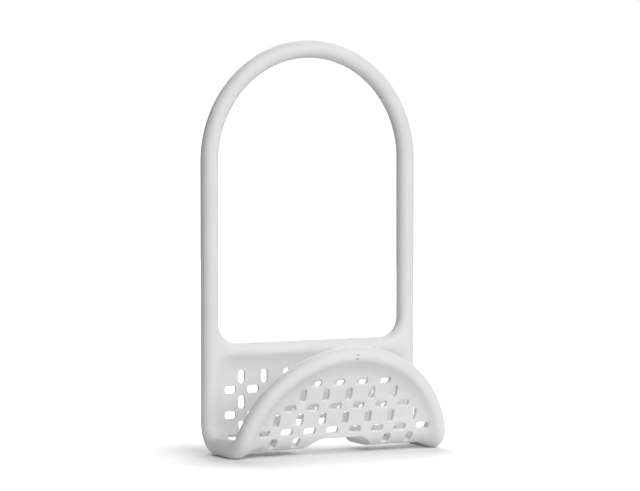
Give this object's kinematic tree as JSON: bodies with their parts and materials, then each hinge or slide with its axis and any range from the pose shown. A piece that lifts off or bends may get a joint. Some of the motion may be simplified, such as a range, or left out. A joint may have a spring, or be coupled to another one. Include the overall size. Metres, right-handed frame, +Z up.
{
  "type": "sponge holder",
  "caption": "Soft moulded sponge holder: a slotted web folded into a pocket with a half-moon front flap, under an open neck loop with a bendable wire core that hangs on a tap.",
  "frame": {"origin": "middle of the base, on the surface that the holder stands on", "axes": "+Z up to the top of the neck loop, -Y to the flap at the front, X across"},
  "size_m": [0.145, 0.0682, 0.248],
  "materials": {
    "soft_moulding": "matte off-white soft-touch moulding with a fine even grain",
    "core_wire": "plain drawn soft wire, sealed inside the rim"
  },
  "bodies": {
    "pocket": {"back_panel": "soft_moulding", "pocket_floor": "soft_moulding", "front_fold": "soft_moulding", "left_side_wire": "core_wire", "left_fold_wire": "core_wire", "left_lower_bend": "soft_moulding", "left_lower_wire": "core_wire", "right_side_wire": "core_wire", "right_fold_wire": "core_wire", "right_lower_bend": "soft_moulding", "right_lower_wire": "core_wire"},
    "neck_legs": {"left_leg": "soft_moulding", "left_leg_wire": "core_wire", "left_upper_bend": "soft_moulding", "left_upper_wire": "core_wire", "right_leg": "soft_moulding", "right_leg_wire": "core_wire", "right_upper_bend": "soft_moulding", "right_upper_wire": "core_wire"},
    "neck_loop": {"neck_arch": "soft_moulding", "neck_wire": "core_wire"},
    "front_flap": {"front_flap": "soft_moulding", "flap_wire": "core_wire"}
  },
  "joints": [
    {"name": "neck_lower_bend", "type": "hinge", "parent": "pocket", "child": "neck_legs", "pos_m": [0, 0.02873, 0.10583], "axis": [-1, 0, 0], "range_deg": [-45, 90], "deforming": ["left_lower_bend", "left_lower_wire", "right_lower_bend", "right_lower_wire"]},
    {"name": "neck_upper_bend", "type": "hinge", "parent": "neck_legs", "child": "neck_loop", "pos_m": [0, 0.02873, 0.14767], "axis": [-1, 0, 0], "range_deg": [-45, 90], "deforming": ["left_upper_bend", "left_upper_wire", "right_upper_bend", "right_upper_wire"]},
    {"name": "flap_fold", "type": "hinge", "parent": "pocket", "child": "front_flap", "pos_m": [0, -0.01388, 0.0111], "axis": [1, 0, 0], "range_deg": [-15, 35], "deforming": ["front_fold", "left_fold_wire", "right_fold_wire"]}
  ]
}
